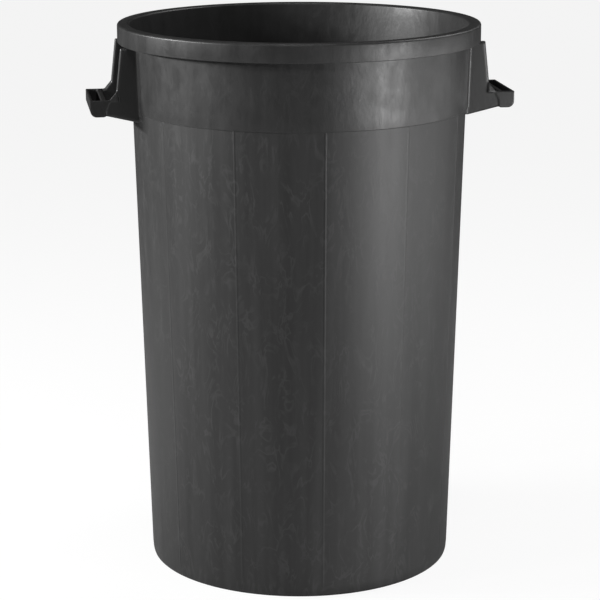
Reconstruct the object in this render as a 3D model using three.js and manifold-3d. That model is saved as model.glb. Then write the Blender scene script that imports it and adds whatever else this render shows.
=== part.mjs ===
// Round open-top plastic drum with two rigid loop handles.
// Millimetres, +Z up, origin at the centre of the underside, handles along X.
// The real drum is one moulding. It is divided here along its visible lines,
// so that each feature is a closed solid of its own.

import * as THREE from 'three';
import { mergeVertices } from 'three/addons/utils/BufferGeometryUtils.js';
import Module from 'manifold-3d';

const wasm = await Module();
wasm.setup();

// ---- Driving dimensions ----

const SEGMENTS = 96;            // facets round the drum
const WELD = 1e-4;              // points closer than this are one point
const GAP = 0.3;                // clearance kept between neighbouring solids
const WALL = 3;                 // general wall thickness

const HEIGHT = 745;             // overall height
const RIM_RADIUS = 245;         // outside of the rim
const RIM_DEPTH = 24.5;         // height of the rim's skirt
const RIM_EDGE = 3;             // rounding of the rim's outer top edge
const RIM_EDGE_STEPS = 4;
const LIP_EDGE = 2.5;           // bevel of the rim's inner top edge

const COLLAR_BOTTOM = 630.5;    // height of the step under the collar
const COLLAR_RADIUS_LOW = 227.3;
const COLLAR_RADIUS_HIGH = 230.3;
const COLLAR_CHAMFER = 0.8;

const BARREL_RADIUS_HIGH = 226; // outside of the barrel under the collar
const BARREL_RADIUS_LOW = 208.6;
const RIB_COUNT = 12;
const RIB_WIDTH = 4;
const RIB_CREST = 1.6;          // width of a rib's flat crest
const RIB_HEIGHT = 0.8;

const FOOT_HEIGHT = 12;
const FOOT_CHAMFER_HEIGHT = 8;
const FOOT_RADIUS = 207.2;      // radius where the foot meets the ground
const FOOT_WIDTH = 6.5;         // width of the ring that stands on the ground

const FLOOR_THICKNESS = 3.5;
const FLOOR_RAISE = 2;          // how far the middle of the floor stands up
const FLOOR_STEP_RADIUS = 155;
const FLOOR_STEP_WIDTH = 8;

const HANDLE_WIDTH = 112;       // across the two cheeks
const CHEEK_THICKNESS = 7;
const CHEEK_EDGE = 3;           // rounding of the cheeks' edges
const EDGE_STEPS = 2;
const CHEEK_TOP_REACH = 242.5;  // distance from the axis at the rim
const SLOPE_FOOT_REACH = 252;   // where the steep edge ends and the slant starts
const SLOPE_FOOT_LEVEL = 661.8;
const SLANT_REACH = 260.6;      // where the slant meets the arm
const ARM_LEVEL = 651.8;        // top of the arms and of the grip
const CHEEK_ROOT_LEVEL = 620.8; // underside of a cheek at the barrel
const CHEEK_TONGUE_REACH = 237; // tongue that rises inside the rim

const GRIP_REACH = 286.3;       // outside of the grip
const GRIP_BOTTOM = 629.5;
const GRIP_DEPTH = 21.3;        // width of the grip, along X
const GRIP_CORNER = 8.5;        // rounding of the outer lower corner
const GRIP_CORNER_STEPS = 5;
const GRIP_OUTER_WALL = 3.5;
const GRIP_INNER_WALL = 6;
const GRIP_END_WALL = 5;
const GRIP_FLOOR = 3.5;
const GRIP_HEEL = [3, 1.5];     // small slope on the inner lower corner, along X and Z
const GRIP_EDGE = 1.2;          // rounding of the grip's edges

const GUSSET_CORNER = [249.2, 651.2]; // square corner of the triangle, along X and Z
const GUSSET_LENGTH = 9;        // level leg
const GUSSET_RISE = 11;         // upright leg
const GUSSET_HEIGHT = 2.4;      // how far its square corner stands out of the cheek
const GUSSET_TOE = 0.4;         // and its two thin ends

// ---- Values worked out from them ----

const rimBottom = HEIGHT - RIM_DEPTH;
const rimUnderside = HEIGHT - WALL;
const gripInner = GRIP_REACH - GRIP_DEPTH;
const halfWidth = HANDLE_WIDTH / 2;

// ---- Material ----

function plastic() {
  return new THREE.MeshStandardMaterial({ color: 0x2b2b2b, roughness: 0.5, metalness: 0 });
}

// ---- Solids and booleans ----

function toSolid(geometry) {
  const bare = geometry.clone();
  bare.deleteAttribute('normal');
  bare.deleteAttribute('uv');
  const merged = mergeVertices(bare, WELD);
  return new wasm.Manifold(new wasm.Mesh({
    numProp: 3,
    vertProperties: new Float32Array(merged.attributes.position.array),
    triVerts: new Uint32Array(merged.index.array),
  }));
}

function toGeometry(solid) {
  const { vertProperties, triVerts } = solid.getMesh();
  const geometry = new THREE.BufferGeometry();
  geometry.setAttribute('position', new THREE.BufferAttribute(vertProperties, 3));
  geometry.setIndex(new THREE.BufferAttribute(triVerts, 1));
  geometry.computeVertexNormals();
  return geometry;
}

function named(name, geometry) {
  const mesh = new THREE.Mesh(geometry, plastic());
  mesh.name = name;
  return mesh;
}

// Points of an arc about (x, y), from one angle to another in degrees.
function arc(x, y, radius, from, to, steps) {
  const points = [];
  for (let i = 0; i <= steps; i += 1) {
    const angle = THREE.MathUtils.degToRad(from + (to - from) * i / steps);
    points.push([x + radius * Math.cos(angle), y + radius * Math.sin(angle)]);
  }
  return points;
}

// A profile of [radius, height] points, listed so that the outside is met going up.
function turned(profile, closed = true) {
  const points = profile.map(([radius, height]) => new THREE.Vector2(radius, height));
  if (closed) points.push(points[0].clone());
  return new THREE.LatheGeometry(points, SEGMENTS).rotateX(Math.PI / 2);
}

// An outline of [x, z] points made into a slab from y = near to y = far.
function slab(outline, near, far, edge = 0) {
  const shape = new THREE.Shape(outline.map(([x, z]) => new THREE.Vector2(x, z)));
  const geometry = new THREE.ExtrudeGeometry(shape, {
    depth: far - near - 2 * edge,
    bevelEnabled: edge > 0,
    bevelThickness: edge,
    bevelSize: edge,
    bevelOffset: -edge,
    bevelSegments: EDGE_STEPS,
  });
  return geometry.rotateX(Math.PI / 2).translate(0, far - edge, 0);
}

// ---- Drum ----

const barrelRise = COLLAR_BOTTOM - GAP - FOOT_HEIGHT - GAP;

function barrelRadius(level) {
  return BARREL_RADIUS_LOW + (BARREL_RADIUS_HIGH - BARREL_RADIUS_LOW) * level / COLLAR_BOTTOM;
}

// Tapered tube with upright ribs. It is drawn at its top size, then each
// point is moved in towards the axis by the taper at its own height.
function barrelWall() {
  const outer = [];
  const facet = 2 * Math.PI / SEGMENTS;
  const facetsPerRib = SEGMENTS / RIB_COUNT;
  for (let i = 0; i < SEGMENTS; i += 1) {
    const angle = i * facet;
    const onRib = i % facetsPerRib === 0;
    if (onRib) {
      const crest = BARREL_RADIUS_HIGH + RIB_HEIGHT;
      const foot = RIB_WIDTH / 2 / BARREL_RADIUS_HIGH;
      const top = RIB_CREST / 2 / crest;
      outer.push([BARREL_RADIUS_HIGH, angle - foot], [crest, angle - top]);
      outer.push([crest, angle + top], [BARREL_RADIUS_HIGH, angle + foot]);
    } else {
      outer.push([BARREL_RADIUS_HIGH, angle]);
    }
  }
  const inner = outer.map(([, angle]) => [BARREL_RADIUS_HIGH - WALL, angle]);
  const place = ([radius, angle]) => new THREE.Vector2(radius * Math.cos(angle), radius * Math.sin(angle));
  const shape = new THREE.Shape(outer.map(place));
  shape.holes.push(new THREE.Path(inner.map(place)));
  const geometry = new THREE.ExtrudeGeometry(shape, { depth: barrelRise, bevelEnabled: false });
  geometry.translate(0, 0, FOOT_HEIGHT + GAP);
  const position = geometry.attributes.position;
  for (let i = 0; i < position.count; i += 1) {
    const x = position.getX(i);
    const y = position.getY(i);
    const radius = Math.hypot(x, y);
    const shrink = (radius - BARREL_RADIUS_HIGH + barrelRadius(position.getZ(i))) / radius;
    position.setXY(i, x * shrink, y * shrink);
  }
  return geometry;
}

function footRing() {
  const inner = FOOT_RADIUS - FOOT_WIDTH;
  return turned([
    [inner, 0],
    [FOOT_RADIUS, 0],
    [BARREL_RADIUS_LOW + GAP, FOOT_CHAMFER_HEIGHT],
    [BARREL_RADIUS_LOW + GAP, FOOT_HEIGHT],
    [inner, FOOT_HEIGHT],
  ]);
}

function floorPanel() {
  const edge = FOOT_RADIUS - FOOT_WIDTH - GAP;
  const top = FOOT_HEIGHT;
  const underside = top - FLOOR_THICKNESS;
  const stepInner = FLOOR_STEP_RADIUS - FLOOR_STEP_WIDTH;
  return turned([
    [0, underside + FLOOR_RAISE],
    [stepInner, underside + FLOOR_RAISE],
    [FLOOR_STEP_RADIUS, underside],
    [edge, underside],
    [edge, top],
    [FLOOR_STEP_RADIUS, top],
    [stepInner, top + FLOOR_RAISE],
    [0, top + FLOOR_RAISE],
  ], false);
}

function collarBand() {
  const top = rimUnderside;
  return turned([
    [COLLAR_RADIUS_LOW - WALL, COLLAR_BOTTOM],
    [COLLAR_RADIUS_LOW - COLLAR_CHAMFER, COLLAR_BOTTOM],
    [COLLAR_RADIUS_LOW, COLLAR_BOTTOM + COLLAR_CHAMFER],
    [COLLAR_RADIUS_HIGH, top],
    [COLLAR_RADIUS_HIGH - WALL, top],
  ]);
}

// Flat top flange with a skirt that hangs clear of the collar.
function rimRing() {
  const bore = COLLAR_RADIUS_HIGH - WALL;
  const base = rimUnderside + GAP;
  return turned([
    [bore, base],
    [RIM_RADIUS - WALL, base],
    [RIM_RADIUS - WALL, rimBottom],
    [RIM_RADIUS, rimBottom],
    ...arc(RIM_RADIUS - RIM_EDGE, HEIGHT - RIM_EDGE, RIM_EDGE, 0, 90, RIM_EDGE_STEPS),
    [bore + LIP_EDGE, HEIGHT],
    [bore, HEIGHT - LIP_EDGE],
  ]);
}

// The drum's outside with the clearance added: the handles are cut to it.
function drumOutside() {
  const grow = GAP;
  return toSolid(turned([
    [0, 0],
    [BARREL_RADIUS_LOW + grow, 0],
    [BARREL_RADIUS_HIGH + grow, COLLAR_BOTTOM - grow],
    [COLLAR_RADIUS_LOW + grow, COLLAR_BOTTOM - grow],
    [COLLAR_RADIUS_HIGH + grow, rimUnderside],
    [RIM_RADIUS - WALL - grow, rimUnderside],
    [RIM_RADIUS - WALL - grow, rimBottom - grow],
    [RIM_RADIUS + grow, rimBottom - grow],
    [RIM_RADIUS + grow, HEIGHT],
    [0, HEIGHT],
  ], false));
}

// ---- Handle, drawn along +X ----

const outside = drumOutside();
const insideDrum = BARREL_RADIUS_LOW;

function cheek(near) {
  const top = rimBottom - GAP;
  const end = gripInner - GAP;
  const outline = [
    [insideDrum, CHEEK_ROOT_LEVEL],
    [COLLAR_RADIUS_LOW - WALL, CHEEK_ROOT_LEVEL],
    [end, GRIP_BOTTOM + GRIP_HEEL[1]],
    [end, ARM_LEVEL],
    [SLANT_REACH, ARM_LEVEL],
    [SLOPE_FOOT_REACH, SLOPE_FOOT_LEVEL],
    [CHEEK_TOP_REACH, top],
    [CHEEK_TONGUE_REACH, top],
    [CHEEK_TONGUE_REACH, rimUnderside - GAP],
    [insideDrum, rimUnderside - GAP],
  ];
  const plate = toSolid(slab(outline, near, near + CHEEK_THICKNESS, CHEEK_EDGE));
  return toGeometry(plate.subtract(outside));
}

// Trough with closed ends, open at the top.
function gripRail() {
  const corner = [GRIP_REACH - GRIP_CORNER, GRIP_BOTTOM + GRIP_CORNER];
  const outline = [
    [gripInner, ARM_LEVEL],
    [gripInner, GRIP_BOTTOM + GRIP_HEEL[1]],
    [gripInner + GRIP_HEEL[0], GRIP_BOTTOM],
    ...arc(corner[0], corner[1], GRIP_CORNER, -90, 0, GRIP_CORNER_STEPS),
    [GRIP_REACH, ARM_LEVEL],
  ];
  const pocket = [
    [gripInner + GRIP_INNER_WALL, ARM_LEVEL + WALL],
    [gripInner + GRIP_INNER_WALL, GRIP_BOTTOM + GRIP_FLOOR],
    [corner[0], GRIP_BOTTOM + GRIP_FLOOR],
    [GRIP_REACH - GRIP_OUTER_WALL, corner[1]],
    [GRIP_REACH - GRIP_OUTER_WALL, ARM_LEVEL + WALL],
  ];
  const block = toSolid(slab(outline, -halfWidth, halfWidth, GRIP_EDGE));
  const hollow = toSolid(slab(pocket, -halfWidth + GRIP_END_WALL, halfWidth - GRIP_END_WALL));
  return toGeometry(block.subtract(hollow));
}

// Low wedge on the outer face of a cheek, proud at its square corner.
// Side is -1 for a cheek that faces -Y and 1 for one that faces +Y.
function gusset(side) {
  const [x, z] = GUSSET_CORNER;
  const face = side * (halfWidth + GAP);
  const plan = [[x, z, GUSSET_HEIGHT], [x + GUSSET_LENGTH, z, GUSSET_TOE], [x, z + GUSSET_RISE, GUSSET_TOE]];
  const points = [];
  for (const [px, pz] of plan) points.push([px, face, pz]);
  for (const [px, pz, height] of plan) points.push([px, face + side * height, pz]);
  return toGeometry(wasm.Manifold.hull(points));
}

// One handle. Seen along the handle from outside, firstSide is its -Y side.
function handle(side, firstSide, secondSide) {
  const group = new THREE.Group();
  group.add(
    named(`${side}_${firstSide}_cheek`, cheek(-halfWidth)),
    named(`${side}_${secondSide}_cheek`, cheek(halfWidth - CHEEK_THICKNESS)),
    named(`${side}_grip_rail`, gripRail()),
    named(`${side}_${firstSide}_gusset`, gusset(-1)),
    named(`${side}_${secondSide}_gusset`, gusset(1)),
  );
  return group;
}

// ---- Assembly ----

const drum = new THREE.Group();
drum.add(
  named('foot_ring', footRing()),
  named('floor_panel', floorPanel()),
  named('barrel_wall', barrelWall()),
  named('collar_band', collarBand()),
  named('rim_ring', rimRing()),
);

const rightHandle = handle('right', 'front', 'rear');
const leftHandle = handle('left', 'rear', 'front');
leftHandle.rotation.z = Math.PI;
drum.add(rightHandle, leftHandle);

export default drum;
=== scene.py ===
"""Round open-top plastic drum with two moulded handles: finish, light and camera."""
import math

import bmesh
import bpy
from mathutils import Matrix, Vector


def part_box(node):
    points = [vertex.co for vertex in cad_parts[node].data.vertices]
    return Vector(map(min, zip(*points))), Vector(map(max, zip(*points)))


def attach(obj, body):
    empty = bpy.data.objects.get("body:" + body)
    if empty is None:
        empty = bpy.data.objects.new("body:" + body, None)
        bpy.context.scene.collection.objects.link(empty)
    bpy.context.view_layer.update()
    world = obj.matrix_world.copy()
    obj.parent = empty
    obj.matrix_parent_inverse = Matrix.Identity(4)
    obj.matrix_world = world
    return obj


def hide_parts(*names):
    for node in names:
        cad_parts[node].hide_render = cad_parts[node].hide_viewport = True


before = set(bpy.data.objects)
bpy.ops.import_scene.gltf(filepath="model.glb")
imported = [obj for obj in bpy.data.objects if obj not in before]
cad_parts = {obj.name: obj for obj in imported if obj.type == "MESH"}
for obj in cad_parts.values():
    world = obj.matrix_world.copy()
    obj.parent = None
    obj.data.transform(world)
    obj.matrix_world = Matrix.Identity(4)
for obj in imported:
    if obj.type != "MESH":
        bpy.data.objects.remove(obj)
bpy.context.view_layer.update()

# ---------------------------------------------------------------------------
# Sizes, in metres
# ---------------------------------------------------------------------------
MM = 0.001

FINE_FACETS = 288           # facets round a plain ring
WALL = 3.0 * MM

RIM_EDGE = 3.0 * MM         # rounding of the rim's outer top edge
RIM_LIP = 3.0 * MM          # rounding of the inner top edge
RIM_HEM = 0.9 * MM          # rounding of the skirt's lower edge
SKIRT_ROUND = 2.0 * MM      # rounding inside the top of the skirt
LIP_FLARE = 1.2 * MM        # how far the bore opens out above the flare line
LIP_FLARE_DEPTH = 13.0 * MM

COLLAR_LOW = 227.3 * MM     # outside radius at the collar's lower edge
COLLAR_HEM = 1.0 * MM
COLLAR_ROWS = 8
COLLAR_INNER_ROW = 40.0 * MM

BARREL_LOW = 208.6 * MM     # outside radius that the barrel's taper has at the ground
BARREL_HIGH = 226.0 * MM    # outside radius under the collar
BARREL_ROWS = 40
RIB_COUNT = 12
RIB_WIDTH = 4.0 * MM
RIB_HEIGHT = 0.36 * MM
RIB_FADE = 7.0 * MM         # run-out of a rib at either end

FOOT_STAND = 207.2 * MM     # radius where the foot meets the ground
FOOT_WIDTH = 6.5 * MM
FOOT_CHAMFER = 0.5 * MM
# rounded lower edge of the foot: out from its standing radius, and up, in millimetres
FOOT_ROLL = ((0.0, 0.5), (0.45, 1.6), (0.85, 3.2), (1.15, 5.2), (1.4, 8.0))

FLOOR_THICK = 3.5 * MM
FLOOR_RAISE = 2.0 * MM
FLOOR_STEP = 155.0 * MM     # radius where the raised middle begins
FLOOR_RISE_RUN = 8.0 * MM

HANDLE_WIDTH = 112.0 * MM
CHEEK_THICK = 7.0 * MM
CHEEK_EDGE = 3.4 * MM
CHEEK_SHY = 0.5 * MM        # how far a cheek's face lies behind the end of the grip
CHEEK_SINK = 1.6 * MM       # how deep a cheek is rooted in the wall
CHEEK_ROOT_SHY = 0.4 * MM   # how far its flat part ends short of that depth
CHEEK_HEEL = 4.0 * MM       # how far inside the collar's foot its lower edge turns
CHEEK_GAP = 0.2 * MM        # clearance under the rim's skirt
CHEEK_HEAD_GAP = 0.5 * MM   # clearance under the rim's flange
CHEEK_HEAD = 237.0 * MM     # how far out a cheek reaches behind the rim's skirt
CHEEK_TOP = 245.5 * MM      # where its steep edge meets the rim
NOTCH_OUT = 260.6 * MM      # slanted corner between the arm and the steep edge: outer end
NOTCH_IN = 252.0 * MM       # inner end
NOTCH_LEVEL = 661.8 * MM    # height of the inner end
GUSSET_CORNER = 249.2 * MM
GUSSET_OUT = 261.5 * MM     # end of the gusset along the arm
GUSSET_IN = 250.4 * MM      # end of the gusset up the steep edge
GUSSET_TOP = 664.5 * MM
GUSSET_PROUD = 2.4 * MM
GUSSET_TOE = 0.3 * MM
GUSSET_ROOT = 2.0 * MM      # how deep it is rooted in the cheek
GUSSET_DROP = 0.6 * MM      # how far it lies below the arm's top
GRIP_DEPTH = 21.3 * MM
GRIP_INNER_WALL = 6.0 * MM
GRIP_OUTER_WALL = 3.5 * MM
GRIP_END_WALL = 5.0 * MM
GRIP_FLOOR = 3.5 * MM
GRIP_CORNER = 8.5 * MM
GRIP_HEEL = 1.5 * MM        # height of the slant at the inner lower edge
GRIP_HEEL_RUN = 3.0 * MM
GRIP_LAP = 2.0 * MM         # how far a cheek runs into the grip
SEAM_REACH = 6.0 * MM       # curved line between cheek and grip: how far in it starts
SEAM_TURN = (0.5 * MM, 9.0 * MM)    # and where it turns, in from the grip and down
PARTING = 0.15 * MM         # how far short of the grip the handle is divided
FILLET_OUT = 3.5 * MM       # fillet between wall and cheek on the open side, along the cheek
FILLET_WALL = 11.0 * MM     # and along the wall
FILLET_IN = 3.5 * MM
FILLET_FLUSH = 0.25 * MM    # depth in the wall at which a fillet runs out
FILLET_EASE = 0.2 * MM      # depth in the cheek at which it runs out
ROOT_END = 1.0 * MM         # how far a fillet stops short of the cheek's ends
ROOT_STEP = 0.1 * MM        # half the height of its step at the collar's lower edge
VOXEL = 0.9 * MM            # grain used to melt the handle's parts together

# ---------------------------------------------------------------------------
# Places taken from the frame
# ---------------------------------------------------------------------------
rim_low, rim_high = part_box("rim_ring")
collar_low, collar_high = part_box("collar_band")
foot_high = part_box("foot_ring")[1]
grip_low, grip_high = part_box("right_grip_rail")
cheek_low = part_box("right_front_cheek")[0]

HEIGHT = rim_high.z
RIM_RADIUS = rim_high.x
RIM_BOTTOM = rim_low.z
RIM_UNDERSIDE = collar_high.z
COLLAR_HIGH = collar_high.x
COLLAR_BOTTOM = collar_low.z
FOOT_TOP = foot_high.z
GRIP_REACH = grip_high.x
GRIP_INNER = GRIP_REACH - GRIP_DEPTH
GRIP_BOTTOM = grip_low.z
ARM_LEVEL = grip_high.z
CHEEK_ROOT = cheek_low.z


def barrel_radius(level):
    """Outside radius of the tapered barrel at a height."""
    return BARREL_LOW + (BARREL_HIGH - BARREL_LOW) * level / COLLAR_BOTTOM


def collar_radius(level):
    """Outside radius of the collar at a height."""
    share = (level - COLLAR_BOTTOM) / (RIM_UNDERSIDE - COLLAR_BOTTOM)
    return COLLAR_LOW + (COLLAR_HIGH - COLLAR_LOW) * share


# ---------------------------------------------------------------------------
# Mesh helpers
# ---------------------------------------------------------------------------
def arc(centre_x, centre_y, radius, start, end, steps):
    """Points of a round corner, with angles in degrees."""
    points = []
    for i in range(steps + 1):
        a = math.radians(start + (end - start) * i / steps)
        points.append((centre_x + radius * math.cos(a), centre_y + radius * math.sin(a)))
    return points


def even_angles(count):
    """Angles evenly spaced round a full turn."""
    return [2 * math.pi * i / count for i in range(count)]


def link(name, mesh):
    """A new piece with this mesh, placed in the scene."""
    piece = bpy.data.objects.new(name, mesh)
    bpy.context.scene.collection.objects.link(piece)
    return piece


def soften(mesh, sharp_above=40):
    """Smooth shading, with creases kept where the surface really turns a corner."""
    mesh.shade_smooth()
    mesh.set_sharp_from_angle(angle=math.radians(sharp_above))


def turned(name, section, angles):
    """A ring made by turning a closed section of (radius, height) points."""
    mesh = bpy.data.meshes.new(name)
    bm = bmesh.new()
    rings = []
    for a in angles:
        c, s = math.cos(a), math.sin(a)
        rings.append([bm.verts.new((r * c, r * s, z)) for r, z in section])
    count = len(section)
    for i, ring in enumerate(rings):
        after = rings[(i + 1) % len(rings)]
        for j in range(count):
            k = (j + 1) % count
            bm.faces.new((ring[j], after[j], after[k], ring[k]))
    bmesh.ops.recalc_face_normals(bm, faces=bm.faces)
    bm.to_mesh(mesh)
    bm.free()
    soften(mesh)
    return link(name, mesh)


def disc(name, top, underside, angles):
    """A plate turned from two lists of (radius, height) points, both from the rim to the middle."""
    mesh = bpy.data.meshes.new(name)
    bm = bmesh.new()
    outline = list(reversed(underside)) + top
    inner_low = bm.verts.new((0, 0, outline[0][1]))
    inner_high = bm.verts.new((0, 0, outline[-1][1]))
    rings = []
    for a in angles:
        c, s = math.cos(a), math.sin(a)
        rings.append([bm.verts.new((r * c, r * s, z)) for r, z in outline[1:-1]])
    for i, ring in enumerate(rings):
        after = rings[(i + 1) % len(rings)]
        bm.faces.new((inner_low, after[0], ring[0]))
        for j in range(len(ring) - 1):
            bm.faces.new((ring[j], after[j], after[j + 1], ring[j + 1]))
        bm.faces.new((inner_high, ring[-1], after[-1]))
    bmesh.ops.recalc_face_normals(bm, faces=bm.faces)
    bm.to_mesh(mesh)
    bm.free()
    soften(mesh)
    return link(name, mesh)


def baked(piece):
    """Replaces a piece's mesh by what its modifiers make of it, and removes them."""
    graph = bpy.context.evaluated_depsgraph_get()
    graph.update()
    mesh = bpy.data.meshes.new_from_object(piece.evaluated_get(graph), depsgraph=graph)
    piece.modifiers.clear()
    old = piece.data
    piece.data = mesh
    bpy.data.meshes.remove(old)
    mesh.name = piece.name
    return piece


# ---------------------------------------------------------------------------
# Plastics
# ---------------------------------------------------------------------------
class Nodes:
    """Short hand for laying out a material's nodes."""

    def __init__(self, name):
        self.material = bpy.data.materials.new(name)
        self.material.use_nodes = True
        self.tree = self.material.node_tree
        self.shader = self.tree.nodes["Principled BSDF"]
        coords = self.tree.nodes.new("ShaderNodeTexCoord")
        self.place = coords.outputs["Object"]

    def add(self, kind, **values):
        node = self.tree.nodes.new(kind)
        for key, value in values.items():
            setattr(node, key, value)
        return node

    def join(self, source, target):
        self.tree.links.new(source, target)

    def stretched(self, scale):
        """Object coordinates, drawn out by a scale for each axis."""
        node = self.add("ShaderNodeMapping")
        node.inputs["Scale"].default_value = scale
        self.join(self.place, node.inputs["Vector"])
        return node.outputs["Vector"]

    def noise(self, vector, scale, detail=3.0, roughness=0.55, distortion=0.0):
        node = self.add("ShaderNodeTexNoise")
        node.inputs["Scale"].default_value = scale
        node.inputs["Detail"].default_value = detail
        node.inputs["Roughness"].default_value = roughness
        node.inputs["Distortion"].default_value = distortion
        self.join(vector, node.inputs["Vector"])
        return node.outputs["Fac"]

    def range(self, value, low, high, to_low, to_high):
        node = self.add("ShaderNodeMapRange")
        limits = {"From Min": low, "From Max": high, "To Min": to_low, "To Max": to_high}
        for socket, number in limits.items():
            node.inputs[socket].default_value = number
        self.join(value, node.inputs["Value"])
        return node.outputs["Result"]

    def maths(self, operation, first, second):
        node = self.add("ShaderNodeMath", operation=operation)
        for socket, value in zip(node.inputs, (first, second)):
            if isinstance(value, (int, float)):
                socket.default_value = value
            else:
                self.join(value, socket)
        return node.outputs[0]

    def bump(self, height, distance, strength=1.0, normal=None):
        node = self.add("ShaderNodeBump")
        node.inputs["Strength"].default_value = strength
        node.inputs["Distance"].default_value = distance
        self.join(height, node.inputs["Height"])
        if normal is not None:
            self.join(normal, node.inputs["Normal"])
        return node.outputs["Normal"]

    def shade(self, value, dark, light):
        """A grey between two tones."""
        node = self.add("ShaderNodeMix", data_type="RGBA")
        node.inputs["A"].default_value = (*dark, 1)
        node.inputs["B"].default_value = (*light, 1)
        self.join(value, node.inputs["Factor"])
        return node.outputs["Result"]


def moulded_plastic(name, streaks, dents, dark, light, roughness):
    """Dark moulded plastic: flow marks along the draw, a fine pebble and soft sheen."""
    n = Nodes(name)
    # thin wavy lines, drawn out along the height and gathered in patches
    flow = n.noise(n.stretched((1.0, 1.0, 0.42)), 38.0, detail=3.0, roughness=0.6, distortion=0.8)
    wisps = n.range(n.maths("PINGPONG", n.maths("MULTIPLY", flow, 6.0), 0.5), 0.0, 0.24, 1.0, 0.0)
    patches = n.range(n.noise(n.stretched((1.0, 1.0, 0.5)), 48.0, detail=2.0), 0.40, 0.64, 0.1, 1.0)
    marks = n.maths("MULTIPLY", wisps, patches)
    # long upright bands
    bands = n.noise(n.stretched((1.0, 1.0, 0.03)), 55.0, detail=2.0)
    # soft blotches in the sheen and the surface
    blotches = n.noise(n.stretched((1.0, 1.0, 0.6)), 60.0, detail=3.0)
    pebble = n.noise(n.place, 1500.0, detail=1.0)

    tone = n.maths("ADD", n.range(marks, 0, 1, 0.0, 0.8 * streaks),
                   n.range(bands, 0.35, 0.65, 0.0, 0.45 * streaks))
    n.join(n.shade(tone, dark, light), n.shader.inputs["Base Color"])

    gloss = n.maths("ADD", n.range(marks, 0, 1, roughness, roughness + 0.04 * streaks),
                    n.range(bands, 0.35, 0.65, -0.02, 0.02))
    gloss = n.maths("ADD", gloss, n.range(blotches, 0.35, 0.65, -0.045 * dents, 0.045 * dents))
    n.join(gloss, n.shader.inputs["Roughness"])

    relief = n.bump(marks, 0.06 * MM * streaks, strength=0.5)
    relief = n.bump(bands, 0.25 * MM * streaks, strength=0.4, normal=relief)
    relief = n.bump(blotches, 0.5 * MM * dents, strength=1.0, normal=relief)
    relief = n.bump(pebble, 0.03 * MM, strength=0.6, normal=relief)
    n.join(relief, n.shader.inputs["Normal"])
    n.shader.inputs["IOR"].default_value = 1.5
    n.shader.inputs["Specular IOR Level"].default_value = 0.5
    return n.material


def plastics():
    """The three plastics, by slot."""
    return {
        "drum_plastic": moulded_plastic("drum plastic", 1.0, 0.15, (0.026,) * 3, (0.050,) * 3, 0.48),
        "rim_plastic": moulded_plastic("rim plastic", 0.7, 1.0, (0.029,) * 3, (0.044,) * 3, 0.41),
        "handle_plastic": moulded_plastic("handle plastic", 0.3, 0.3, (0.028,) * 3, (0.038,) * 3, 0.38),
    }


# ---------------------------------------------------------------------------
# Drum
# ---------------------------------------------------------------------------
def rib_angles():
    """Angles round the barrel: close together on a rib, wide apart between ribs."""
    pitch = 2 * math.pi / RIB_COUNT
    half = RIB_WIDTH / BARREL_HIGH
    across, between = 12, 20
    angles = []
    for rib in range(RIB_COUNT):
        centre = rib * pitch
        angles += [centre + half * (2 * i / across - 1) for i in range(across)]
        start, end = centre + half, centre + pitch - half
        angles += [start + (end - start) * i / between for i in range(between)]
    return angles


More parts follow.
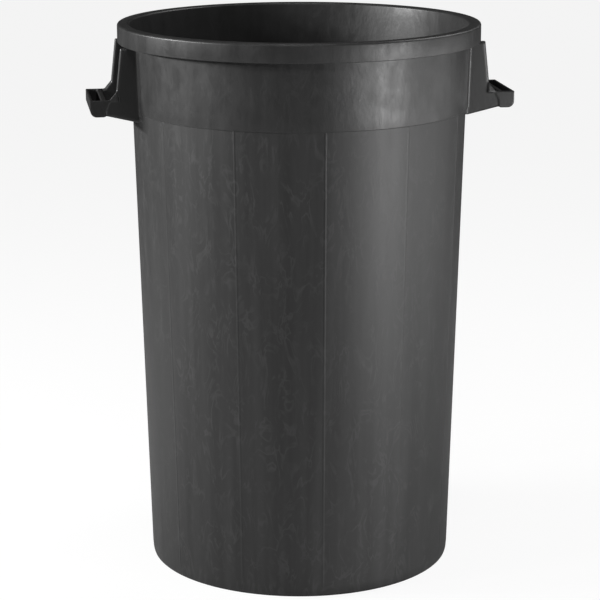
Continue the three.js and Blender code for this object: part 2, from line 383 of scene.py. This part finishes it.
def rib_tree():
    """Geometry nodes that raise upright ribs on the outside of a turned wall."""
    tree = bpy.data.node_groups.new("upright ribs", "GeometryNodeTree")
    face = tree.interface
    face.new_socket("Wall", in_out="INPUT", socket_type="NodeSocketGeometry")
    for title in ("Count", "Width", "Height", "Low end", "High end", "Run-out"):
        face.new_socket(title, in_out="INPUT", socket_type="NodeSocketFloat")
    face.new_socket("Plastic", in_out="INPUT", socket_type="NodeSocketMaterial")
    face.new_socket("Ribbed wall", in_out="OUTPUT", socket_type="NodeSocketGeometry")
    nodes, links = tree.nodes, tree.links
    entry = nodes.new("NodeGroupInput")
    leave = nodes.new("NodeGroupOutput")

    def maths(operation, *values, clamp=False):
        node = nodes.new("ShaderNodeMath")
        node.operation = operation
        node.use_clamp = clamp
        for socket, value in zip(node.inputs, values):
            if isinstance(value, (int, float)):
                socket.default_value = value
            else:
                links.new(value, socket)
        return node.outputs[0]

    def ramp(value, low, high):
        """0 below low and 1 above high, with an easy curve between."""
        node = nodes.new("ShaderNodeMapRange")
        node.interpolation_type = "SMOOTHSTEP"
        for title, source in (("Value", value), ("From Min", low), ("From Max", high)):
            if isinstance(source, (int, float)):
                node.inputs[title].default_value = source
            else:
                links.new(source, node.inputs[title])
        return node.outputs["Result"]

    place = nodes.new("GeometryNodeInputPosition").outputs[0]
    split = nodes.new("ShaderNodeSeparateXYZ")
    links.new(place, split.inputs[0])
    x, y, z = split.outputs
    angle = maths("ARCTAN2", y, x)
    radius = maths("SQRT", maths("ADD", maths("MULTIPLY", x, x), maths("MULTIPLY", y, y)))
    pitch = maths("DIVIDE", 2 * math.pi, entry.outputs["Count"])
    off_rib = maths("MULTIPLY", maths("PINGPONG", angle, maths("DIVIDE", pitch, 2.0)), radius)
    crest = maths("SUBTRACT", 1.0, ramp(off_rib, 0.0, maths("DIVIDE", entry.outputs["Width"], 2.0)))
    low_end, high_end = entry.outputs["Low end"], entry.outputs["High end"]
    start = ramp(z, low_end, maths("ADD", low_end, entry.outputs["Run-out"]))
    stop = maths("SUBTRACT", 1.0, ramp(z, maths("SUBTRACT", high_end, 0.0005), high_end))

    flat = nodes.new("ShaderNodeCombineXYZ")
    links.new(x, flat.inputs[0])
    links.new(y, flat.inputs[1])
    outward = nodes.new("ShaderNodeVectorMath")
    outward.operation = "NORMALIZE"
    links.new(flat.outputs[0], outward.inputs[0])
    facing = nodes.new("ShaderNodeVectorMath")
    facing.operation = "DOT_PRODUCT"
    links.new(nodes.new("GeometryNodeInputNormal").outputs[0], facing.inputs[0])
    links.new(outward.outputs[0], facing.inputs[1])
    outside = maths("GREATER_THAN", facing.outputs["Value"], 0.5)
    lift = maths("MULTIPLY", entry.outputs["Height"], crest)
    for mask in (start, stop, outside):
        lift = maths("MULTIPLY", lift, mask)
    offset = nodes.new("ShaderNodeVectorMath")
    offset.operation = "SCALE"
    links.new(outward.outputs[0], offset.inputs[0])
    links.new(lift, offset.inputs["Scale"])

    move = nodes.new("GeometryNodeSetPosition")
    links.new(entry.outputs["Wall"], move.inputs["Geometry"])
    links.new(offset.outputs[0], move.inputs["Offset"])
    real = nodes.new("GeometryNodeRealizeInstances")
    links.new(move.outputs[0], real.inputs[0])
    coat = nodes.new("GeometryNodeSetMaterial")
    links.new(real.outputs[0], coat.inputs["Geometry"])
    links.new(entry.outputs["Plastic"], coat.inputs["Material"])
    links.new(coat.outputs[0], leave.inputs[0])
    return tree


def set_inputs(modifier, values):
    """Gives a geometry nodes modifier its values by socket title."""
    for item in modifier.node_group.interface.items_tree:
        if item.item_type == "SOCKET" and item.in_out == "INPUT" and item.name in values:
            modifier[item.identifier] = values[item.name]


def barrel_levels():
    """Heights of the barrel's rows, closer together at both ends."""
    low, high = FOOT_TOP, COLLAR_BOTTOM
    first, last = low + 20 * MM, high - 3 * MM
    middle = [first + (last - first) * i / BARREL_ROWS for i in range(BARREL_ROWS + 1)]
    return [low, low + 4 * MM, low + 10 * MM, *middle, high - 1 * MM, high - 0.5 * MM, high]


def barrel(plastic):
    """Tapered wall with upright ribs on its outside."""
    levels = barrel_levels()
    outer = [(barrel_radius(z), z) for z in levels]
    inner = [(barrel_radius(z) - WALL, z) for z in reversed(levels)]
    piece = turned("barrel", outer + inner, rib_angles())
    piece.data.materials.append(plastic)
    modifier = piece.modifiers.new("ribs", "NODES")
    modifier.node_group = rib_tree()
    set_inputs(modifier, {
        "Count": float(RIB_COUNT),
        "Width": RIB_WIDTH,
        "Height": RIB_HEIGHT,
        "Low end": FOOT_TOP,
        "High end": COLLAR_BOTTOM,
        "Run-out": RIB_FADE,
        "Plastic": plastic,
    })
    piece = baked(piece)
    soften(piece.data)
    return piece


def foot(plastic):
    """Ring that the drum stands on, rolled in a little at its lower edge."""
    inner = FOOT_STAND - FOOT_WIDTH
    top = FOOT_TOP
    section = [(inner, FOOT_CHAMFER), (inner + FOOT_CHAMFER, 0.0), (FOOT_STAND - FOOT_CHAMFER, 0.0)]
    section += [(FOOT_STAND + out * MM, up * MM) for out, up in FOOT_ROLL]
    section += [(barrel_radius(top), top), (barrel_radius(top) - WALL, top), (inner, top)]
    piece = turned("foot", section, even_angles(FINE_FACETS))
    piece.data.materials.append(plastic)
    return piece


def floor_plate(plastic):
    """Bottom of the drum: a thin plate with a raised middle."""
    edge = FOOT_STAND - FOOT_WIDTH
    top = FOOT_TOP
    rise = [(edge, top), (FLOOR_STEP, top)]
    for i in range(1, 7):
        share = i / 6
        ease = share * share * (3 - 2 * share)
        rise.append((FLOOR_STEP - FLOOR_RISE_RUN * share, top + FLOOR_RAISE * ease))
    rise.append((0.0, top + FLOOR_RAISE))
    underside = [(r, z - FLOOR_THICK) for r, z in rise]
    piece = disc("floor_plate", rise, underside, even_angles(FINE_FACETS // 2))
    piece.data.materials.append(plastic)
    return piece


def collar(plastic):
    """Band under the rim, with a small rounded step at its lower edge."""
    low, high = COLLAR_BOTTOM, RIM_UNDERSIDE
    section = [(COLLAR_LOW - WALL, low)]
    section += arc(COLLAR_LOW - COLLAR_HEM, low + COLLAR_HEM, COLLAR_HEM, -90, 0, 5)
    first = low + COLLAR_HEM
    rise = [first + (high - first) * i / COLLAR_ROWS for i in range(1, COLLAR_ROWS + 1)]
    section += [(collar_radius(z), z) for z in rise]
    flare_line = high - LIP_FLARE_DEPTH
    section.append((COLLAR_HIGH - WALL + LIP_FLARE, high))
    section += [(collar_radius(z) - WALL, z) for z in (flare_line, low + COLLAR_INNER_ROW)]
    piece = turned("collar", section, even_angles(FINE_FACETS))
    piece.data.materials.append(plastic)
    return piece


def rim(plastic):
    """Flat flange with rounded edges and a skirt that hangs clear of the collar."""
    bore = COLLAR_HIGH - WALL + LIP_FLARE
    skirt = RIM_RADIUS - WALL
    hem = RIM_HEM
    section = [(bore, RIM_UNDERSIDE)]
    section += arc(skirt - SKIRT_ROUND, RIM_UNDERSIDE - SKIRT_ROUND, SKIRT_ROUND, 90, 0, 5)
    section += arc(skirt + hem, RIM_BOTTOM + hem, hem, 180, 270, 4)
    section += arc(RIM_RADIUS - hem, RIM_BOTTOM + hem, hem, 270, 360, 4)
    section += arc(RIM_RADIUS - RIM_EDGE, HEIGHT - RIM_EDGE, RIM_EDGE, 0, 90, 10)
    section += arc(bore + RIM_LIP, HEIGHT - RIM_LIP, RIM_LIP, 90, 180, 8)[:-1]
    piece = turned("rim", section, even_angles(FINE_FACETS))
    piece.data.materials.append(plastic)
    return piece


# ---------------------------------------------------------------------------
# Handles
# ---------------------------------------------------------------------------
def add_slab(bm, outline, near, far, edge=0.0):
    """A plate drawn in X and Z, from y = near to y = far, with rounded outline edges."""
    part = bmesh.new()
    front = [part.verts.new((x, near, z)) for x, z in outline]
    back = [part.verts.new((x, far, z)) for x, z in outline]
    part.faces.new(front)
    part.faces.new(list(reversed(back)))
    count = len(outline)
    for i in range(count):
        j = (i + 1) % count
        part.faces.new((front[j], front[i], back[i], back[j]))
    bmesh.ops.recalc_face_normals(part, faces=part.faces)
    if edge:
        rims = [e for e in part.edges if abs(e.verts[0].co.y - e.verts[1].co.y) < 1e-7]
        bmesh.ops.bevel(part, geom=rims, offset=edge, segments=4, profile=0.5, affect="EDGES")
    spare = bpy.data.meshes.new("spare")
    part.to_mesh(spare)
    part.free()
    bm.from_mesh(spare)
    bpy.data.meshes.remove(spare)


def bend(start, corner, end, steps=6):
    """Points of a curve that leaves start and reaches end along the two sides of a corner."""
    points = []
    for i in range(steps + 1):
        t = i / steps
        near, mid, far = (1 - t) ** 2, 2 * t * (1 - t), t ** 2
        points.append(tuple(near * a + mid * c + far * e for a, c, e in zip(start, corner, end)))
    return points


def add_root(bm, side):
    """Foot of a cheek in the wall, with a fillet on either face. Side is -1 or 1."""
    open_face = side * (HANDLE_WIDTH / 2 - CHEEK_SHY)
    inner_face = side * (HANDLE_WIDTH / 2 - CHEEK_THICK)
    levels = [CHEEK_ROOT + ROOT_END, COLLAR_BOTTOM - ROOT_STEP,
              COLLAR_BOTTOM + ROOT_STEP, RIM_UNDERSIDE - ROOT_END]
    radii = [barrel_radius(z) for z in levels[:2]] + [collar_radius(z) for z in levels[2:]]
    rings = []
    for radius, z in zip(radii, levels):
        def wall(y, depth=FILLET_FLUSH):
            return math.sqrt((radius - depth) ** 2 - y * y)

        outer_end = open_face + side * FILLET_WALL
        inner_end = inner_face - side * FILLET_IN
        plan = bend((wall(outer_end), outer_end), (wall(open_face), open_face),
                    (wall(open_face) + FILLET_OUT, open_face - side * FILLET_EASE))
        plan += bend((wall(inner_face) + FILLET_IN, inner_face + side * FILLET_EASE),
                     (wall(inner_face), inner_face), (wall(inner_end), inner_end))
        back = [inner_end + (outer_end - inner_end) * i / 6 for i in range(7)]
        plan += [(wall(y, CHEEK_SINK), y) for y in back]
        rings.append([bm.verts.new((x, y, z)) for x, y in plan])
    count = len(rings[0])
    for a, b in zip(rings, rings[1:]):
        for j in range(count):
            k = (j + 1) % count
            bm.faces.new((a[j], a[k], b[k], b[j]))
    bm.faces.new(list(reversed(rings[0])))
    bm.faces.new(rings[-1])


def cheek_outline(end):
    """Side view of a cheek that reaches out as far as end."""
    def root(z, radius):
        """How far in a flat cheek may start without showing inside the drum."""
        reach = HANDLE_WIDTH / 2 - CHEEK_THICK
        return math.sqrt((radius - CHEEK_SINK - CHEEK_ROOT_SHY) ** 2 - reach ** 2), z

    under_rim = RIM_UNDERSIDE - CHEEK_HEAD_GAP
    return [
        root(CHEEK_ROOT, barrel_radius(CHEEK_ROOT)),
        (COLLAR_LOW - CHEEK_HEEL, CHEEK_ROOT),
        (end, GRIP_BOTTOM + GRIP_HEEL),
        (end, ARM_LEVEL),
        (NOTCH_OUT, ARM_LEVEL),
        (NOTCH_IN, NOTCH_LEVEL),
        (CHEEK_TOP, RIM_BOTTOM - CHEEK_GAP),
        (CHEEK_HEAD, RIM_BOTTOM - CHEEK_GAP),
        (CHEEK_HEAD, under_rim),
        root(under_rim, collar_radius(under_rim)),
        root(COLLAR_BOTTOM, collar_radius(COLLAR_BOTTOM)),
    ]


def add_gusset(bm, side):
    """Low wedge in the corner of a cheek: flush at the slanted edge, proud at the inner corner."""
    face = side * (HANDLE_WIDTH / 2 - CHEEK_SHY)
    proud = face + side * GUSSET_PROUD
    toe = face + side * GUSSET_TOE
    deep = face - side * GUSSET_ROOT
    level = ARM_LEVEL - GUSSET_DROP
    corner = (GUSSET_CORNER, level)
    ends = [(GUSSET_OUT, level), (GUSSET_IN, GUSSET_TOP)]
    verts = [bm.verts.new((x, y, z)) for (x, z), y in (
        (corner, proud), (ends[0], toe), (ends[1], toe),
        (corner, deep), (ends[0], deep), (ends[1], deep))]
    a, b, c, d, e, f = verts
    faces = [(a, b, c), (f, e, d), (a, d, e, b), (b, e, f, c), (c, f, d, a)]
    for loop in faces:
        bm.faces.new(loop if side < 0 else tuple(reversed(loop)))


def handle_shape():
    """The whole right-hand handle, melted together so that its inner corners are filleted."""
    bm = bmesh.new()
    half = HANDLE_WIDTH / 2
    end = GRIP_INNER + GRIP_LAP
    for side in (-1, 1):
        outer = side * (half - CHEEK_SHY)
        inner = side * (half - CHEEK_THICK)
        add_slab(bm, cheek_outline(end), min(outer, inner), max(outer, inner), CHEEK_EDGE)
        add_root(bm, side)
        add_gusset(bm, side)
    floor_top = GRIP_BOTTOM + GRIP_FLOOR
    corner = (GRIP_REACH - GRIP_CORNER, GRIP_BOTTOM + GRIP_CORNER)
    rolled = arc(corner[0], corner[1], GRIP_CORNER, -90, 0, 8)
    rolled_in = arc(corner[0], corner[1], GRIP_CORNER - GRIP_OUTER_WALL, 0, -90, 6)
    shell = [(GRIP_INNER, GRIP_BOTTOM + GRIP_HEEL), (GRIP_INNER + GRIP_HEEL_RUN, GRIP_BOTTOM)] + rolled
    shell += [(GRIP_REACH, ARM_LEVEL), (GRIP_REACH - GRIP_OUTER_WALL, ARM_LEVEL)] + rolled_in
    shell += [(GRIP_INNER, floor_top)]
    add_slab(bm, shell, -half, half)
    inner_wall = [
        (GRIP_INNER, GRIP_BOTTOM + GRIP_HEEL),
        (GRIP_INNER + GRIP_INNER_WALL, GRIP_BOTTOM + GRIP_HEEL),
        (GRIP_INNER + GRIP_INNER_WALL, ARM_LEVEL),
        (GRIP_INNER, ARM_LEVEL),
    ]
    add_slab(bm, inner_wall, -half, half)
    turn = (GRIP_INNER - SEAM_TURN[0], ARM_LEVEL - SEAM_TURN[1])
    seam = bend((GRIP_INNER - SEAM_REACH, ARM_LEVEL), turn, (GRIP_INNER + GRIP_HEEL_RUN, GRIP_BOTTOM))
    end_wall = seam + rolled + [(GRIP_REACH, ARM_LEVEL)]
    for side in (-1, 1):
        outer, inner = side * half, side * (half - GRIP_END_WALL)
        add_slab(bm, end_wall, min(outer, inner), max(outer, inner))
    mesh = bpy.data.meshes.new("handle shape")
    bm.to_mesh(mesh)
    bm.free()
    piece = link("handle shape", mesh)
    melt = piece.modifiers.new("melt", "REMESH")
    melt.mode = "VOXEL"
    melt.voxel_size = VOXEL
    melt.adaptivity = 0.0
    ease = piece.modifiers.new("ease", "SMOOTH")
    ease.factor = 0.5
    ease.iterations = 5
    return baked(piece)


def cut_piece(source, name, keep):
    """Copies the part of a closed shape that lies on one side of each (point, normal) plane."""
    bm = bmesh.new()
    bm.from_mesh(source.data)
    for point, normal in keep:
        everything = bm.verts[:] + bm.edges[:] + bm.faces[:]
        result = bmesh.ops.bisect_plane(bm, geom=everything, plane_co=point, plane_no=normal,
                                        clear_inner=True)
        cut = [e for e in result["geom_cut"] if isinstance(e, bmesh.types.BMEdge)]
        bmesh.ops.holes_fill(bm, edges=cut, sides=0)
    bmesh.ops.recalc_face_normals(bm, faces=bm.faces)
    mesh = bpy.data.meshes.new(name)
    bm.to_mesh(mesh)
    bm.free()
    soften(mesh, 50)
    return link(name, mesh)


def handles(plastic):
    """Both handles, each divided into two arms and a grip, with the nodes they stand for."""
    shape = handle_shape()
    parting = Vector((GRIP_INNER - PARTING, 0, 0))
    along = Vector((1, 0, 0))
    across = Vector((0, 1, 0))
    middle = Vector((0, 0, 0))
    pieces = []
    for side, turn in (("right", 0.0), ("left", math.pi)):
        near, far = ("front", "rear") if side == "right" else ("rear", "front")
        cuts = {
            f"{side}_{near}_arm": ([(parting, -along), (middle, -across)], near),
            f"{side}_{far}_arm": ([(parting, -along), (middle, across)], far),
            f"{side}_grip": ([(parting, along)], None),
        }
        for title, (planes, face) in cuts.items():
            piece = cut_piece(shape, title, planes)
            if turn:
                for v in piece.data.vertices:
                    v.co.x, v.co.y = -v.co.x, -v.co.y
            piece.data.materials.append(plastic)
            if face:
                nodes = (f"{side}_{face}_cheek", f"{side}_{face}_gusset")
            else:
                nodes = (f"{side}_grip_rail",)
            pieces.append((piece, nodes))
    bpy.data.objects.remove(shape)
    return pieces


# ---------------------------------------------------------------------------
# Studio
# ---------------------------------------------------------------------------
CAMERA_DISTANCE = 2.922
CAMERA_HEIGHT = 1.0866
CAMERA_AZIMUTH = -8.5       # degrees round from the front, towards the left handle
CAMERA_TILT = 14.01         # degrees down
CAMERA_ROLL = 0.08
LENS = 129.84
AIM_SHIFT = 0.0022


def camera():
    """Looks down at the drum from a little left of the front."""
    data = bpy.data.cameras.new("camera")
    data.lens = LENS
    data.sensor_width = 36.0
    data.shift_x = AIM_SHIFT
    data.clip_end = 60.0
    eye = bpy.data.objects.new("camera", data)
    turn = math.radians(CAMERA_AZIMUTH)
    eye.location = (CAMERA_DISTANCE * math.sin(turn), -CAMERA_DISTANCE * math.cos(turn), CAMERA_HEIGHT)
    eye.rotation_euler = (math.radians(90 - CAMERA_TILT), math.radians(CAMERA_ROLL), turn)
    bpy.context.scene.collection.objects.link(eye)
    bpy.context.scene.camera = eye


SOFTBOX_DISTANCE = 2.2
SOFTBOX_CENTRE = 0.45       # height on the drum that every softbox looks at
SOFTBOXES = (
    # name, degrees round from the camera, degrees up, width, height, watts
    ("left softbox", -86, 20, 0.80, 0.12, 46.0),
    ("left fill", -62, 20, 0.40, 0.15, 11.0),
    ("right softbox", 59, -4, 0.58, 0.50, 19.5),
    ("right fill", 40, -4, 0.55, 0.50, 5.0),
    ("right low card", 98, -4, 2.00, 0.50, 3.8),
    ("right floor card", 90, -9, 1.20, 0.15, 3.6),
    ("front softbox", 0, 40, 0.60, 0.50, 5.0),
    ("rear softbox", 118, 46, 1.20, 1.00, 16.0),
    ("top softbox", 0, 86, 0.60, 0.60, 5.0),
)


def softbox(name, azimuth, rise, width, tall, power):
    """A soft panel light that faces the drum, placed round it from the camera's own direction."""
    data = bpy.data.lights.new(name, "AREA")
    data.shape = "RECTANGLE"
    data.size = width
    data.size_y = tall
    data.energy = power
    lamp = bpy.data.objects.new(name, data)
    turn, up = math.radians(CAMERA_AZIMUTH + azimuth), math.radians(rise)
    outward = Vector((math.sin(turn) * math.cos(up), -math.cos(turn) * math.cos(up), math.sin(up)))
    lamp.location = Vector((0, 0, SOFTBOX_CENTRE)) + outward * SOFTBOX_DISTANCE
    lamp.rotation_euler = (-outward).to_track_quat("-Z", "Y").to_euler()
    bpy.context.scene.collection.objects.link(lamp)


def room():
    """Plain pale surround: bright to look at, dim as a source of light."""
    world = bpy.data.worlds.new("room")
    bpy.context.scene.world = world
    world.use_nodes = True
    tree = world.node_tree
    background = tree.nodes["Background"]
    background.inputs["Strength"].default_value = 1.0
    path = tree.nodes.new("ShaderNodeLightPath")
    tone = tree.nodes.new("ShaderNodeMix")
    tone.data_type = "RGBA"
    tone.inputs["A"].default_value = (0.01, 0.01, 0.01, 1)
    tone.inputs["B"].default_value = (0.95, 0.95, 0.95, 1)
    tree.links.new(path.outputs["Is Camera Ray"], tone.inputs["Factor"])
    tree.links.new(tone.outputs["Result"], background.inputs["Color"])


def studio_floor():
    """Plain pale floor: lit softly, and bright to look at."""
    mesh = bpy.data.meshes.new("studio_floor")
    half = 30.0
    corners = [(-half, -half, 0), (half, -half, 0), (half, half, 0), (-half, half, 0)]
    mesh.from_pydata(corners, [], [(0, 1, 2, 3)])
    piece = link("studio_floor", mesh)
    material = bpy.data.materials.new("pale floor")
    material.use_nodes = True
    tree = material.node_tree
    tree.nodes.clear()
    out = tree.nodes.new("ShaderNodeOutputMaterial")
    matt = tree.nodes.new("ShaderNodeBsdfDiffuse")
    matt.inputs["Color"].default_value = (0.50, 0.50, 0.50, 1)
    seen = tree.nodes.new("ShaderNodeBsdfDiffuse")
    seen.inputs["Color"].default_value = (0.12, 0.12, 0.12, 1)
    glow = tree.nodes.new("ShaderNodeEmission")
    glow.inputs["Color"].default_value = (0.90, 0.90, 0.90, 1)
    both = tree.nodes.new("ShaderNodeAddShader")
    path = tree.nodes.new("ShaderNodeLightPath")
    pick = tree.nodes.new("ShaderNodeMixShader")
    tree.links.new(seen.outputs[0], both.inputs[0])
    tree.links.new(glow.outputs[0], both.inputs[1])
    tree.links.new(path.outputs["Is Camera Ray"], pick.inputs[0])
    tree.links.new(matt.outputs[0], pick.inputs[1])
    tree.links.new(both.outputs[0], pick.inputs[2])
    tree.links.new(pick.outputs[0], out.inputs["Surface"])
    mesh.materials.append(material)


def studio():
    """Camera, surround, floor and lights."""
    camera()
    room()
    studio_floor()
    for row in SOFTBOXES:
        softbox(*row)
    bpy.context.scene.view_settings.view_transform = "Standard"


# ---------------------------------------------------------------------------
# Assembly
# ---------------------------------------------------------------------------
def place(piece, slot, *nodes):
    """Puts a piece on the drum's body, in the place of its CAD nodes; its slot is not used."""
    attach(piece, "root")
    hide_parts(*nodes)


def build():
    """Makes every piece of the drum."""
    finish = plastics()
    wall, edge, grip = finish["drum_plastic"], finish["rim_plastic"], finish["handle_plastic"]
    place(barrel(wall), "drum_plastic", "barrel_wall")
    place(foot(wall), "drum_plastic", "foot_ring")
    place(floor_plate(wall), "drum_plastic", "floor_panel")
    place(collar(edge), "rim_plastic", "collar_band")
    place(rim(edge), "rim_plastic", "rim_ring")
    for piece, nodes in handles(grip):
        place(piece, "handle_plastic", *nodes)


studio()
build()
